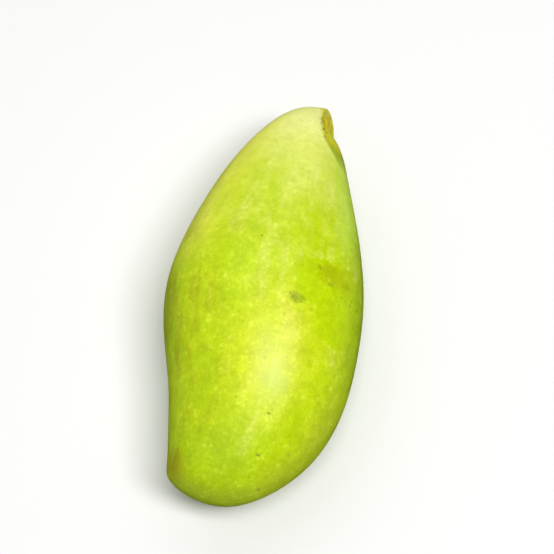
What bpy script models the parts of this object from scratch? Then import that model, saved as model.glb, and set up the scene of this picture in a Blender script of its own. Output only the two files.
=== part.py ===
# A long green mango as picked, lying on one cheek. One solid: a fruit grows as one piece.
#
# Metres, +Z up. The fruit lies along Y with its stem end at +Y and its beak at -Y. Its widest
# outline is in the seed plane, which is level. The hollow side (ventral) is at -X and the full
# side (dorsal) at +X. The origin is on the surface below the middle of the fruit.

import math

import bmesh
import bpy
from mathutils import Vector

MM = 0.001
NAME = "mango"

# The stem face, a small flat oval turned to the dorsal side, and the dry scar of the stem on it.
STEM_FACE_CENTRE = Vector((5.4, -5.9, 0)) * MM
STEM_FACE_WIDTH = 13 * MM
STEM_FACE_HEIGHT = 13.4 * MM
STEM_FACE_TURN = math.radians(78)  # from the fruit's length towards the dorsal side
STEM_FACE_LEAN = math.radians(20)  # towards the upper cheek
STEM_DISH_DEPTH = 0.3 * MM
STEM_SCAR_WIDTH = 4.8 * MM
STEM_SCAR_RISE = 0.6 * MM
STEM_RIM_CREASE = 0.5

# The ribs from the stem face to the beak. Each is an oval that stands on the line from its
# ventral end to its dorsal end: ventral x and y, dorsal x and y, thickness, in mm. Y is measured
# from the stem end. The skin is drawn smoothly over the ribs and lies a little inside them.
RIBS = (
    ((-8.3, -0.9), (12, -12.8), 20),
    ((-20, -13.5), (18.5, -28.8), 34),
    ((-30.4, -34.7), (26.2, -45.8), 48),
    ((-39.8, -66), (33.5, -68), 61.5),
    ((-38.3, -88), (35.1, -90), 62.5),
    ((-29.7, -109.2), (34, -112), 55.5),
    ((-26.1, -125), (25.5, -132.2), 43),
    ((-23.2, -135.5), (6.7, -148.4), 29),
    ((-22.5, -138.5), (-6.6, -149.2), 18),
    ((-21.9, -140.3), (-15.4, -146.8), 9),
)
BEAK = Vector((-21.2, -142.8, 0)) * MM
CHEEK_SKEW = 0.03  # the cheeks are fullest a little to the dorsal side of the middle

AROUND = 12  # points round a rib
SUBDIVISIONS = 2
FLAT_SPOT_DEPTH = 0.5 * MM  # how far the resting cheek is flattened
CUTTER_SIDE = 0.2

SKIN_COLOUR = (0.52, 0.70, 0.06, 1)
SKIN_ROUGHNESS = 0.4

UP = Vector((0, 0, 1))


def clear_scene():
    for obj in list(bpy.data.objects):
        bpy.data.objects.remove(obj)


def collection(name):
    made = bpy.data.collections.new(name)
    bpy.context.scene.collection.children.link(made)
    return made


def stem_face_rings():
    """Rings from the stem's scar out to the rim of the stem face: centre, dorsal half, upper half."""
    level = Vector((math.sin(STEM_FACE_TURN), math.cos(STEM_FACE_TURN), 0))
    across = Vector((level.y, -level.x, 0))
    normal = level * math.cos(STEM_FACE_LEAN) + UP * math.sin(STEM_FACE_LEAN)
    slope = UP * math.cos(STEM_FACE_LEAN) - level * math.sin(STEM_FACE_LEAN)
    rings = []
    for width, rise in (
        (0.6 * STEM_SCAR_WIDTH, STEM_SCAR_RISE - STEM_DISH_DEPTH),
        (STEM_SCAR_WIDTH, STEM_SCAR_RISE - STEM_DISH_DEPTH),
        (1.15 * STEM_SCAR_WIDTH, -STEM_DISH_DEPTH),
        (0.8 * STEM_FACE_WIDTH, -STEM_DISH_DEPTH),
        (STEM_FACE_WIDTH, 0),
    ):
        height = width * STEM_FACE_HEIGHT / STEM_FACE_WIDTH
        centre = STEM_FACE_CENTRE + normal * rise
        rings.append((centre, across * width / 2, slope * height / 2))
    return rings


def body_rings():
    """The ribs, each as its centre, its dorsal half and its upper half."""
    rings = []
    for ventral, dorsal, thickness in RIBS:
        ventral_end = Vector((*ventral, 0)) * MM
        dorsal_end = Vector((*dorsal, 0)) * MM
        half = (dorsal_end - ventral_end) / 2
        rings.append((ventral_end + half, half, UP * thickness * MM / 2))
    return rings


def fruit_cage():
    """A coarse ball of rings, pulled out to the ribs of the fruit."""
    face_rings = stem_face_rings()
    rings = face_rings + body_rings()
    steps = len(rings) + 1
    cage = bmesh.new()
    bmesh.ops.create_uvsphere(cage, u_segments=AROUND, v_segments=steps, radius=1)
    crease = cage.edges.layers.float.new("crease_edge")
    rim = []
    for vert in cage.verts:
        step = round(math.acos(max(-1, min(1, vert.co.z))) / math.pi * steps)
        turn = -math.atan2(vert.co.y, vert.co.x)
        if step == 0:
            vert.co = rings[0][0]
        elif step == steps:
            vert.co = BEAK
        else:
            centre, dorsal, upper = rings[step - 1]
            skew = CHEEK_SKEW * math.sin(turn) ** 2
            vert.co = centre + dorsal * (math.cos(turn) + skew) + upper * math.sin(turn)
        if step == len(face_rings):
            rim.append(vert)
    for edge in cage.edges:
        if edge.verts[0] in rim and edge.verts[1] in rim:
            edge[crease] = STEM_RIM_CREASE
    mesh = bpy.data.meshes.new(NAME)
    cage.to_mesh(mesh)
    cage.free()
    return mesh


def bounds(obj):
    """The lowest and highest corner of an object's mesh after its modifiers."""
    bpy.context.view_layer.update()
    evaluated = obj.evaluated_get(bpy.context.evaluated_depsgraph_get())
    points = [vert.co.copy() for vert in evaluated.to_mesh().vertices]
    evaluated.to_mesh_clear()
    low = Vector([min(point[axis] for point in points) for axis in range(3)])
    high = Vector([max(point[axis] for point in points) for axis in range(3)])
    return low, high


def flatten_below_ground(obj, cutters):
    """Cut off what is below the ground, which leaves the small flat spot the fruit lies on."""
    box = bmesh.new()
    bmesh.ops.create_cube(box, size=CUTTER_SIDE)
    mesh = bpy.data.meshes.new("ground_cutter")
    box.to_mesh(mesh)
    box.free()
    cutter = bpy.data.objects.new("ground_cutter", mesh)
    cutter.location = (0, 0, -CUTTER_SIDE / 2)
    cutter.hide_render = True
    cutter.display_type = "WIRE"
    cutters.objects.link(cutter)
    cut = obj.modifiers.new("flat_spot", "BOOLEAN")
    cut.operation = "DIFFERENCE"
    cut.solver = "EXACT"
    cut.object = cutter


def skin_material():
    material = bpy.data.materials.new("green_skin")
    material.use_nodes = True
    shader = material.node_tree.nodes["Principled BSDF"]
    shader.inputs["Base Color"].default_value = SKIN_COLOUR
    shader.inputs["Roughness"].default_value = SKIN_ROUGHNESS
    shader.inputs["Metallic"].default_value = 0
    material.diffuse_color = SKIN_COLOUR
    return material


def main():
    clear_scene()
    parts = collection("mango_as_picked")
    cutters = collection("cutters")

    fruit = bpy.data.objects.new(NAME, fruit_cage())
    fruit.data.materials.append(skin_material())
    fruit.data.shade_smooth()
    parts.objects.link(fruit)
    skin = fruit.modifiers.new("skin", "SUBSURF")
    skin.levels = skin.render_levels = SUBDIVISIONS

    low, high = bounds(fruit)
    middle = (low + high) / 2
    fruit.location = (-middle.x, -middle.y, -low.z - FLAT_SPOT_DEPTH)
    flatten_below_ground(fruit, cutters)


main()
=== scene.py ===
import math

import bmesh
import bpy
import numpy as np
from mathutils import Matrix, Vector, noise


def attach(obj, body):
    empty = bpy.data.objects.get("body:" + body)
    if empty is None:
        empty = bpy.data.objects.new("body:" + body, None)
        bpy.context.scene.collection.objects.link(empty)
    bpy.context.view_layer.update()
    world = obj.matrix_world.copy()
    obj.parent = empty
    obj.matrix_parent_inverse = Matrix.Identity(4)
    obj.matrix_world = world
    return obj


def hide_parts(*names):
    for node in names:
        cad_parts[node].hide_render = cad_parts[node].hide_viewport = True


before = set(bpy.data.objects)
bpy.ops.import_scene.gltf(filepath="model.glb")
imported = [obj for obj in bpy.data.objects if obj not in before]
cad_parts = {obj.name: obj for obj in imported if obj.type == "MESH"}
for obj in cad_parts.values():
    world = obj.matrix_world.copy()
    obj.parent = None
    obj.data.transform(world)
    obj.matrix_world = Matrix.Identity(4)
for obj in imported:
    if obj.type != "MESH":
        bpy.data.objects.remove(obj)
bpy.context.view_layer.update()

# The mango, one grown fruit: a thin waxy skin drawn tight over firm green flesh and a flat stone.
# It swells from the stem face to full cheeks and hooks back to a small beak. It lies on one cheek,
# which its weight flattens a little.
MM = 0.001
STEM_FACE_CENTRE = Vector((5.4, -5.9, 0)) * MM
STEM_FACE_WIDTH = 13 * MM
STEM_FACE_HEIGHT = 13.4 * MM
STEM_FACE_TURN = math.radians(78)  # from the fruit's length towards the dorsal side
STEM_FACE_LEAN = math.radians(20)  # towards the upper cheek
STEM_DISH_DEPTH = 0.3 * MM
STEM_SCAR_WIDTH = 4.8 * MM
STEM_SCAR_RISE = 0.6 * MM
STEM_RIM_CREASE = 0.5
# The ribs from the stem face to the beak. Each is an oval that stands on the line from its
# ventral end to its dorsal end: ventral x and y, dorsal x and y, thickness, in mm. Y is measured
# from the stem end.
RIBS = (
    ((-8.3, -0.9), (12, -12.8), 20),
    ((-20, -13.5), (18.5, -28.8), 34),
    ((-30.4, -34.7), (26.2, -45.8), 48),
    ((-39.8, -66), (33.5, -68), 61.5),
    ((-38.3, -88), (35.1, -90), 62.5),
    ((-29.7, -109.2), (34, -112), 55.5),
    ((-26.1, -125), (25.5, -132.2), 43),
    ((-23.2, -135.5), (6.7, -148.4), 29),
    ((-22.5, -138.5), (-6.6, -149.2), 18),
    ((-21.9, -140.3), (-15.4, -146.8), 9),
)
BEAK = Vector((-21.2, -142.8, 0)) * MM
CHEEK_SKEW = 0.03  # the cheeks are fullest a little to the dorsal side of the middle
FLAT_SPOT_DEPTH = 0.5 * MM
POINTS_AROUND = 12
SMOOTHINGS = 4
GRAIN_RADIUS = 30 * MM
LUMPS = ((38, 0.28), (13, 0.08), (5, 0.02))  # how far apart and how high the flesh's lumps are
CORK_LUMPS = ((2.4, 0.3), (1.1, 0.12))
SCAR_EDGE = 3.2  # the station where the scar's cork ends; the rim of the stem face is at 5


def stem_face_rings():
    """Rings from the stem's scar out to the rim of its face: centre, dorsal half, upper half."""
    level = Vector((math.sin(STEM_FACE_TURN), math.cos(STEM_FACE_TURN), 0))
    across = Vector((level.y, -level.x, 0))
    up = Vector((0, 0, 1))
    normal = level * math.cos(STEM_FACE_LEAN) + up * math.sin(STEM_FACE_LEAN)
    slope = up * math.cos(STEM_FACE_LEAN) - level * math.sin(STEM_FACE_LEAN)
    rings = []
    for width, rise in (
        (0.6 * STEM_SCAR_WIDTH, STEM_SCAR_RISE - STEM_DISH_DEPTH),
        (STEM_SCAR_WIDTH, STEM_SCAR_RISE - STEM_DISH_DEPTH),
        (1.15 * STEM_SCAR_WIDTH, -STEM_DISH_DEPTH),
        (0.8 * STEM_FACE_WIDTH, -STEM_DISH_DEPTH),
        (STEM_FACE_WIDTH, 0),
    ):
        height = width * STEM_FACE_HEIGHT / STEM_FACE_WIDTH
        rings.append((STEM_FACE_CENTRE + normal * rise, across * width / 2, slope * height / 2))
    return rings


def body_rings():
    """The ribs, each as its centre, its dorsal half and its upper half."""
    rings = []
    for ventral, dorsal, thickness in RIBS:
        ventral_end = Vector((*ventral, 0)) * MM
        dorsal_end = Vector((*dorsal, 0)) * MM
        half = (dorsal_end - ventral_end) / 2
        rings.append((ventral_end + half, half, Vector((0, 0, thickness * MM / 2))))
    return rings


def fruit_cage():
    """A coarse ball of rings, pulled out to the ribs.

    Each point keeps its ring's number as its station, and its place on a straight rod of even
    thickness as its grain, so that streaks can follow the fruit from stem to beak.
    """
    face_rings = stem_face_rings()
    rings = face_rings + body_rings()
    steps = len(rings) + 1
    cage = bmesh.new()
    bmesh.ops.create_uvsphere(cage, u_segments=POINTS_AROUND, v_segments=steps, radius=1)
    crease = cage.edges.layers.float.new("crease_edge")
    station = cage.verts.layers.float.new("station")
    grain = cage.verts.layers.float_vector.new("grain")
    rim = []
    for vert in cage.verts:
        step = round(math.acos(max(-1, min(1, vert.co.z))) / math.pi * steps)
        turn = -math.atan2(vert.co.y, vert.co.x)
        if step == 0:
            vert.co = rings[0][0]
        elif step == steps:
            vert.co = BEAK
        else:
            centre, dorsal, upper = rings[step - 1]
            skew = CHEEK_SKEW * math.sin(turn) ** 2
            vert.co = centre + dorsal * (math.cos(turn) + skew) + upper * math.sin(turn)
        vert[station] = step
        vert[grain] = (GRAIN_RADIUS * math.cos(turn), vert.co.y, GRAIN_RADIUS * math.sin(turn))
        if step == len(face_rings):
            rim.append(vert)
    for edge in cage.edges:
        if edge.verts[0] in rim and edge.verts[1] in rim:
            edge[crease] = STEM_RIM_CREASE
    mesh = bpy.data.meshes.new("fruit_cage")
    cage.to_mesh(mesh)
    cage.free()
    return mesh


def smoothed(cage):
    """The cage's form after subdivision, with its stations and grain."""
    holder = bpy.data.objects.new("fruit_cage", cage)
    bpy.context.scene.collection.objects.link(holder)
    skin = holder.modifiers.new("skin", "SUBSURF")
    skin.levels = skin.render_levels = SMOOTHINGS
    bpy.context.view_layer.update()
    form = bpy.data.meshes.new_from_object(holder.evaluated_get(bpy.context.evaluated_depsgraph_get()))
    bpy.data.objects.remove(holder)
    return form


def read_vectors(items, name):
    """One vector of every vertex, as the rows of an array."""
    numbers = np.empty(len(items) * 3)
    items.foreach_get(name, numbers)
    return numbers.reshape(-1, 3)


def lumps(places, sizes):
    """Even noise of several sizes, in mm, at each place."""
    heights = np.zeros(len(places))
    for wave, height in sizes:
        heights += [height * noise.noise(Vector(place) / (wave * MM)) for place in places]
    return heights


fruit = smoothed(fruit_cage())
points = read_vectors(fruit.vertices, "co")
normals = read_vectors(fruit.vertices, "normal")
stations = np.empty(len(points))
fruit.attributes["station"].data.foreach_get("value", stations)
middle = (points.max(0) + points.min(0)) / 2
points -= (middle[0], middle[1], points[:, 2].min() + FLAT_SPOT_DEPTH)
cork = np.clip(SCAR_EDGE - stations, 0, 1)
swell = lumps(points, LUMPS) + cork * lumps(points, CORK_LUMPS)
points += normals * (swell * MM)[:, None]
points[:, 2] = np.maximum(points[:, 2], 0)
fruit.vertices.foreach_set("co", points.ravel())
fruit.shade_smooth()
fruit.update()

mango = bpy.data.objects.new("mango_skin", fruit)
bpy.context.scene.collection.objects.link(mango)


class Wire:
    """A socket in a material. Arithmetic on it adds Math nodes, or Vector Math ones for vectors."""

    def __init__(self, socket):
        self.socket = socket

    def node(self, kind, settings, sockets, output=0):
        """A new node: its settings first, then the values or wires of its sockets."""
        tree = self.socket.id_data
        new = tree.nodes.new(kind)
        for name, setting in settings.items():
            if name == "stops":
                while len(new.color_ramp.elements) < len(setting):
                    new.color_ramp.elements.new(1)
                for element, (position, colour) in zip(new.color_ramp.elements, setting):
                    element.position = position
                    element.color = colour
            else:
                setattr(new, name, setting)
        for name, value in sockets.items():
            if isinstance(value, Wire):
                tree.links.new(value.socket, new.inputs[name])
            else:
                new.inputs[name].default_value = value
        return Wire(new.outputs[output])

    def twin(self, output):
        """Another output of the same node."""
        return Wire(self.socket.node.outputs[output])

    def maths(self, operation, *values, output=0):
        """A Math node, or a Vector Math node where one of the values is a vector or a colour."""
        kind = "ShaderNodeMath"
        for value in values:
            if isinstance(value, tuple) or (isinstance(value, Wire) and value.socket.type != "VALUE"):
                kind = "ShaderNodeVectorMath"
        if kind == "ShaderNodeVectorMath":
            values = [(value,) * 3 if isinstance(value, (int, float)) else value for value in values]
        return self.node(kind, {"operation": operation}, dict(enumerate(values)), output)

    def __add__(self, other):
        return self.maths("ADD", self, other)

    __radd__ = __add__

    def __sub__(self, other):
        return self.maths("SUBTRACT", self, other)

    def __rsub__(self, other):
        return self.maths("SUBTRACT", other, self)

    def __mul__(self, other):
        return self.maths("MULTIPLY", self, other)

    __rmul__ = __mul__

    def __truediv__(self, other):
        return self.maths("DIVIDE", self, other)

    def least(self, other):
        return self.maths("MINIMUM", self, other)

    def most(self, other):
        return self.maths("MAXIMUM", self, other)

    def length(self):
        return self.maths("LENGTH", self, output=1)

    def reach_along(self, direction):
        """How far a vector reaches in a direction."""
        return self.maths("DOT_PRODUCT", self, direction, output=1)

    def axis(self, number):
        return self.node("ShaderNodeSeparateXYZ", {}, {0: self}, number)

    def rise(self, start, end):
        """0 at start, 1 at end and an even curve between them, also where end is the lower one."""
        return self.node(
            "ShaderNodeMapRange", {"interpolation_type": "SMOOTHSTEP"}, {0: self, 1: start, 2: end}
        )

    def cloud(self, size, detail=2, roughness=0.5):
        """Soft noise in lumps of that size, about -1 to 1."""
        sockets = {"Vector": self, "Scale": 1 / size, "Detail": detail, "Roughness": roughness}
        return (self.node("ShaderNodeTexNoise", {}, sockets) - 0.5) * 4

    def ruffled(self, size, reach):
        """The same places, each moved up to that reach, so that edges come out uneven."""
        shift = self.node("ShaderNodeTexNoise", {}, {"Vector": self, "Scale": 1 / size}, "Color")
        return self + (shift - 0.5) * (2 * reach)

    def dots(self, apart, radius):
        """Soft dots of uneven size and strength, one to a cell of the skin."""
        cell = self.node("ShaderNodeTexVoronoi", {}, {"Vector": self, "Scale": 1 / apart})
        chance = cell.twin("Color").axis(0)
        return (cell / ((chance + 0.4) * (radius / apart))).rise(1, 0) * (chance + 0.3)

    def spot(self, centre, reach):
        """How far a place is from a centre, where 1 is its reach."""
        return ((self - centre) / reach).length()

    def tint(self, colour, mask):
        """This colour, turned into another one where the mask is 1."""
        return self.node("ShaderNodeMix", {"data_type": "RGBA"}, {0: mask, 6: self, 7: colour}, 2)


skin = bpy.data.materials.new("mango_skin")
skin.use_nodes = True
shader = skin.node_tree.nodes["Principled BSDF"]
surface = Wire(shader.outputs[0])
PER_MM = 1 / MM  # on the skin, places and sizes are in mm from the ground below its middle
place = surface.node("ShaderNodeTexCoord", {}, {}, "Object") * PER_MM
station = surface.node("ShaderNodeAttribute", {"attribute_name": "station"}, {}, "Fac")
grain = surface.node("ShaderNodeAttribute", {"attribute_name": "grain"}, {}, "Vector") * PER_MM
across = place.axis(0)
along = place.axis(1)
height = place.axis(2)
side = grain.axis(0) / (GRAIN_RADIUS * PER_MM)  # -1 along the hollow edge, 1 along the full edge
above = grain.axis(2).rise(2, 8)
streaks = grain * (1, 0.3, 1)
clouds = place.cloud(15, 3)
bands = streaks.cloud(8, 2)
flecks = streaks.cloud(3.5, 3, 0.65)
fine = place.cloud(1.3, 2, 0.6)
ragged = place.cloud(5, 4, 0.65)
loose = place.ruffled(1.5, 0.6)

# The wax on the skin is thick and yellow-white at the stem end and thins towards the beak. It lies
# in clouds and in streaks along the fruit. One patch of the upper cheek is rubbed clean.
BLOOM = (  # the skin's green under more and more wax
    (0.0, (0.420, 0.570, 0.000, 1)),
    (0.25, (0.450, 0.590, 0.003, 1)),
    (0.5, (0.520, 0.615, 0.050, 1)),
    (0.75, (0.620, 0.685, 0.122, 1)),
    (1.0, (0.715, 0.745, 0.225, 1)),
)
WAX_CLOUDS = (  # the middle and the reach of each, and how much thicker the wax is there
    ((-7.5, 12, 56), (5.5, 6.5, 20), -0.16),
    ((5, 38, 48), (11, 13, 20), 0.15),
    ((4, 0, 58), (9, 16, 20), 0.07),
    ((13, -15, 56), (6, 9, 20), 0.2),
    ((27, -20, 46), (7, 8, 20), 0.16),
    ((4, -52, 51), (5, 12, 20), 0.2),
    ((-3, -67, 38), (18, 7, 20), -0.1),
)
rubbed_wide = place.spot((20, 2, 50), (11.5, 9, 30)) + ragged * 0.25
rubbed_long = place.spot((26, -7, 46), (8, 12, 30)) + ragged * 0.25
rubbed = rubbed_wide.least(rubbed_long).rise(1.06, 0.95) * above
# The spot where the overhead lamp's highlight falls, on the fullest part of the cheek.
under_highlight = place.spot((8, -24, 57), (19, 30, 40)).rise(1.1, 0.3)
uneven = along.rise(50, -5) * 0.5 + 0.5
mottle = clouds * 0.14 + ragged * 0.15 + fine * 0.1
mottle = mottle + (bands * 0.2 + flecks * 0.25) * along.rise(70, 35)
haze = along.rise(-45, 60) * 0.45 + along.rise(35, 75) * 0.62 + under_highlight * 0.08 + 0.03
haze = haze - side.rise(0, -0.7) * along.rise(35, 0) * 0.14
haze = haze + mottle * uneven
for middle, reach, thickness in WAX_CLOUDS:
    haze = haze + (place.spot(middle, reach) + ragged * 0.3).rise(1.2, 0.4) * thickness
haze = haze * (1 - rubbed * 0.95)
colour = haze.node("ShaderNodeValToRGB", {"stops": BLOOM}, {0: haze})

# The green of the skin is yellower along the hollow side. On the fullest part of the cheek, under the
# overhead highlight, it is tinted yellow as a painted warm highlight, and the hollow edge of the upper
# half is tinted straw as a painted rim light. It is painted deeper green where the cheeks turn over
# the edges of the stone and towards the beak, as painted shade where the skin turns away from the
# light.
YELLOW = (0.66, 0.61, 0.003, 1)
RIM_LIT_STRAW = (0.74, 0.77, 0.07, 1)
LIME = (0.47, 0.72, 0.06, 1)
SHADE_GREEN = (0.24, 0.40, 0.001, 1)
OLIVE = (0.31, 0.31, 0, 1)
# Painted highlight: the green is tinted yellow under the overhead highlight to warm it.
colour = colour.tint(YELLOW, under_highlight * (bands * 0.1 + 0.3) * (1 - rubbed))
# Painted rim light: the hollow edge of the upper half is tinted pale straw, as a light from that side
# would brighten it.
rim_light = side.rise(-0.4, -0.85) * along.rise(-5, 20) * (bands * 0.15 + 0.65)
colour = colour.tint(RIM_LIT_STRAW, rim_light * along.rise(75, 55))
gilded = side.rise(-0.15, -0.6) * along.rise(40, 15) * ragged.rise(0.1, 1.3)
colour = colour.tint(YELLOW, gilded * 0.4)
shoulder = side.rise(0.5, 0.8) * along.rise(10, 25) * along.rise(60, 50)
colour = colour.tint(LIME, shoulder * 0.5)
# Painted shade: the flanks and the beak end turn deeper green where the skin turns away from the
# light, broken up by the skin's own mottle.
edges = side.rise(0.75, 1) * along.rise(38, 18) * along.rise(-40, -15) * 0.8
edges = edges + side.rise(-0.6, -0.98) * along.rise(8, -8) * along.rise(-45, -25) * 0.6
edges = edges + along.rise(-42, -62) * across.rise(16, 4) * 0.5
edges = edges + (clouds + bands) * 0.08 - flecks * 0.08 - fine * 0.05
colour = colour.tint(SHADE_GREEN, edges.rise(0, 1) * 0.8)
stained = side.rise(-0.2, -0.6) * along.rise(25, 8) * above * (clouds + bands * 1.5).rise(0.1, 1)
stained = stained.most((place.spot((21, 6, 51), (7, 4.5, 20)) + ragged * 0.5).rise(1.1, 0.3))
stained = stained.most(side.rise(0.5, 1) * along.rise(-20, -45) * (bands * 0.2 + 0.7))
stained = stained.most(along.rise(-62, -73) * 0.5)
colour = colour.tint(OLIVE, stained * 0.45)

# The skin breathes through pores, pale ones and a few dark ones, thick on the lower two thirds.
# It has small dark specks, and a scuff of dull green beside the rubbed patch.
SPECK = (0.18, 0.20, 0, 1)
DULL_GREEN = (0.27, 0.37, 0.001, 1)
PORE_SHINE = (0.12, 0.12, 0.024)
DARK_SPECKS = (  # the middle and the radius of each
    ((-4.4, 13.2, 56), 0.6),
    ((10.8, -44.9, 52.2), 0.6),
    ((10.2, -58.1, 47), 0.8),
    ((12.4, -67.6, 37.7), 1.3),
    ((16.7, 7.1, 53.4), 0.9),
    ((21.1, 2.6, 51.5), 1.1),
)
thick = (bands * 0.35 + ragged * 0.5 + 0.7).most(0.1) * (along + clouds * 14).rise(60, -5)
pores = (loose.dots(1.2, 0.75) * 0.6).most(loose.dots(2.6, 1))
pores = pores.most(loose.cloud(1, 1).rise(0.5, 1.6)) * thick * (1 - rubbed * 0.5)
dark_pores = loose.dots(2.9, 0.7) * thick * (side.rise(0.3, 0.8) * 0.15 + 0.2)
tone = (ragged * 0.13 + fine * 0.06) * uneven + bands * 0.06 * along.rise(-5, -35)
tone = tone - dark_pores + 1
# Painted shade: the tone is darker over the middle of the upper cheek, where the long overhead box
# lights it most.
tone = tone - place.spot((4, 16, 55), (22, 34, 40)).rise(1.1, 0.2) * 0.05
tone = tone - place.spot((-12, -42, 50), (14, 22, 40)).rise(1.2, 0.2) * 0.06
tone = tone + side.rise(-0.3, -0.8) * 0.06
colour = colour * tone + pores * PORE_SHINE
specks = loose.dots(11, 0.7) * 0.5
for middle, radius in DARK_SPECKS:
    speck = (loose.spot(middle, (radius, radius * 0.8, 3)) + fine * 0.4).rise(1.4, 0)
    specks = specks.most(speck * 0.85)
scuff = loose.spot((11.3, -5.5, 56.8), (3.6, 2.1, 6)) + ragged * 0.25 + fine * 0.15
scuff = scuff.rise(1.2, 0.4)
colour = colour.tint(DULL_GREEN, scuff * (fine * 0.3 + 0.6))
specks = specks.most(scuff * loose.dots(0.8, 0.9) * 0.9)
colour = colour.tint(SPECK, specks.least(1) * 0.85)

# The beak is where the style of the flower was. Its skin is weathered to olive, and it is bruised
# brown on its hollow side.
BROWN = (0.22, 0.16, 0.003, 1)
weathered = place.spot((-17, -65.5, 35), (6, 8, 9)) + clouds * 0.15 + flecks * 0.15
colour = colour.tint(OLIVE, weathered.rise(1.2, 0.2) * 0.7)
bruises = (place.spot((-16.5, -64.5, 36.5), (1.8, 4.5, 6)) + ragged * 0.35).rise(1.2, 0.3)
colour = colour.tint(BROWN, bruises * (fine * 0.2 + 0.3))

# The stem face is where the fruit broke off its stem. Sap has stained it and the skin below it
# ochre and dull green, with brown dots along the rim, and the scar in it is dry orange cork.
OCHRE = (0.53, 0.51, 0.002, 1)
ORANGE_CORK = (0.57, 0.44, 0.002, 1)
FACE_MIDDLE = (7.3, 68.3, 29)
FACE_DIRECTION = (
    math.sin(STEM_FACE_TURN) * math.cos(STEM_FACE_LEAN),
    math.cos(STEM_FACE_TURN) * math.cos(STEM_FACE_LEAN),
    math.sin(STEM_FACE_LEAN),
)
rim = station + ragged * 0.06
face = rim.rise(5.3, 4.9)
beyond = (place - FACE_MIDDLE).reach_along(FACE_DIRECTION)
near = place.spot(FACE_MIDDLE, (1, 1, 1)) + ragged * 1.2 + clouds * 0.8
oval = (1 - place.spot((12, 57, 29), (40, 14, 12))) * 12 + clouds * height.rise(36, 30) * 2
stain = oval.least(beyond + 0.4) + ragged * 0.5
softness = (near * 0.15 - 1.2).most(0.6) + height.rise(28, 20) * 1.5
collar = (stain / softness).rise(0, 1) * (near + clouds * 2).rise(26, 15)
colour = colour.tint(DULL_GREEN, collar * (ragged * 0.25 + 0.85).rise(0, 1))
cork = (collar * near.rise(18, 13.5)).most(face)
colour = colour.tint(OCHRE, cork * (ragged * 0.3 + 0.9).rise(0, 1))
dotted = near.rise(14, 8) * cork * 0.6
dotted = dotted.most(stain.rise(-0.1, 0.4) * stain.rise(1.8, 0.8) * near.rise(18, 15))
colour = colour.tint(BROWN, (loose.dots(1.4, 1) * dotted).rise(0.15, 0.7) * 0.7)
scar = rim.rise(SCAR_EDGE, 2.6)
colour = colour.tint(ORANGE_CORK, (rim.rise(4.6, 2.8) * 0.5).most(scar * 0.8))

# The skin is satin. The wax dulls it a little, the rubbed patch shines more, and specks and cork
# are dull. Pores stand up a hundredth of a millimetre or two, and specks are sunk a little deeper.
roughness = haze * 0.1 + fine * 0.02 + flecks * 0.03 - rubbed * 0.06 + 0.35
roughness = roughness.most(specks * 0.9).most(cork * 0.7)
relief = place.cloud(0.9, 1) * 0.006 + flecks * 0.012 + pores * 0.015
relief = relief - specks * 0.05 + cork * fine * 0.12
bump = relief.node("ShaderNodeBump", {}, {"Height": relief, "Distance": MM})
feed = {"Base Color": colour, "Roughness": roughness, "Normal": bump}
for name, wire in feed.items():
    skin.node_tree.links.new(wire.socket, shader.inputs[name])
shader.inputs["Specular IOR Level"].default_value = 0.3
fruit.materials.clear()
fruit.materials.append(skin)

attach(mango, "root")
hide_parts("mango")

# The table it lies on: a sheet of smooth off-white board, wide enough to fill the view. The fruit's
# gloss shows the lamps alone, not the table.
TABLE_SIDE = 6
table_form = bmesh.new()
bmesh.ops.create_grid(table_form, x_segments=1, y_segments=1, size=TABLE_SIDE / 2)
table_mesh = bpy.data.meshes.new("table_top")
table_form.to_mesh(table_mesh)
table_form.free()
table = bpy.data.objects.new("table_top", table_mesh)
bpy.context.scene.collection.objects.link(table)
board = bpy.data.materials.new("off_white_board")
board.use_nodes = True
board_shader = board.node_tree.nodes["Principled BSDF"]
board_shader.inputs["Base Color"].default_value = (0.75, 0.75, 0.745, 1)
board_shader.inputs["Roughness"].default_value = 0.9
table_mesh.materials.append(board)
table.visible_glossy = False


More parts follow.
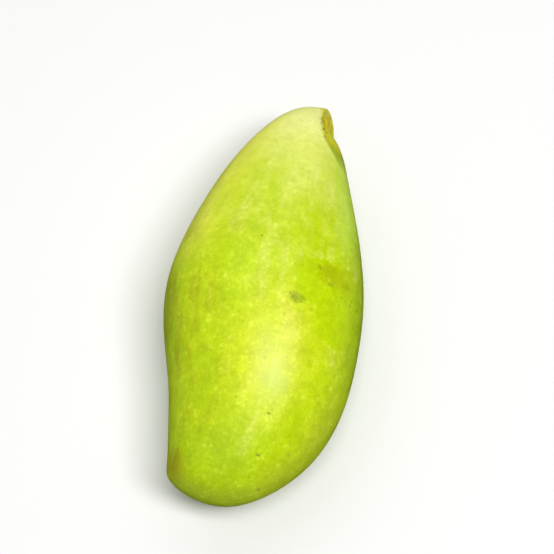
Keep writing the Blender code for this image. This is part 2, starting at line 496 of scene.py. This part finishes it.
# The studio's light: a long soft box overhead, a wide one behind the stem end, and weaker ones in
# front and at the hollow side, in a dim pale room. Each is a lit cloth in a frame, in metres and
# watts, and is aimed at the fruit.
def soft_box(name, stand, width, length, power, roll=0):
    """A lit rectangle at a stand, facing the fruit and turned in its own plane by the roll."""
    lamp = bpy.data.lights.new(name, "AREA")
    lamp.shape = "RECTANGLE"
    lamp.size = width
    lamp.size_y = length
    lamp.energy = power
    box = bpy.data.objects.new(name, lamp)
    box.location = stand
    box.rotation_euler = box.location.to_track_quat("Z", "Y").to_euler()
    box.rotation_euler.rotate_axis("Z", roll)
    bpy.context.scene.collection.objects.link(box)


soft_box("overhead_box", (0.28, -0.14, 1.2), width=0.26, length=0.8, power=14.8, roll=math.radians(27))
soft_box("stem_side_box", (-0.2, 0.9, 1), width=1.4, length=1.4, power=6)
soft_box("beak_side_box", (0, -0.9, 1), width=1.8, length=1.8, power=2.8)
soft_box("hollow_side_box", (-0.9, 0, 1), width=1.8, length=1.8, power=3.8)
room = bpy.data.worlds.new("pale_room")
room.use_nodes = True
walls = room.node_tree.nodes["Background"]
walls.inputs["Color"].default_value = (1, 1, 1, 1)
walls.inputs["Strength"].default_value = 0.1
bpy.context.scene.world = room
room.cycles_visibility.glossy = False
bpy.context.scene.view_settings.view_transform = "Standard"

# The camera looks steeply down on the fruit from the beak's side, at about an arm's length and
# through a long lens.
CAMERA_TURN = math.radians(12.5)
CAMERA_RISE = math.radians(72)
CAMERA_DISTANCE = 0.6
CAMERA_AIM = Vector((1.7, 8.3, 30)) * MM
back = Vector((
    math.sin(CAMERA_TURN) * math.cos(CAMERA_RISE),
    -math.cos(CAMERA_TURN) * math.cos(CAMERA_RISE),
    math.sin(CAMERA_RISE),
))
lens = bpy.data.cameras.new("camera")
lens.lens = 112
lens.sensor_width = 36
lens.clip_start = 0.01
camera = bpy.data.objects.new("camera", lens)
camera.location = CAMERA_AIM + back * CAMERA_DISTANCE
camera.rotation_euler = back.to_track_quat("Z", "Y").to_euler()
bpy.context.scene.collection.objects.link(camera)
bpy.context.scene.camera = camera
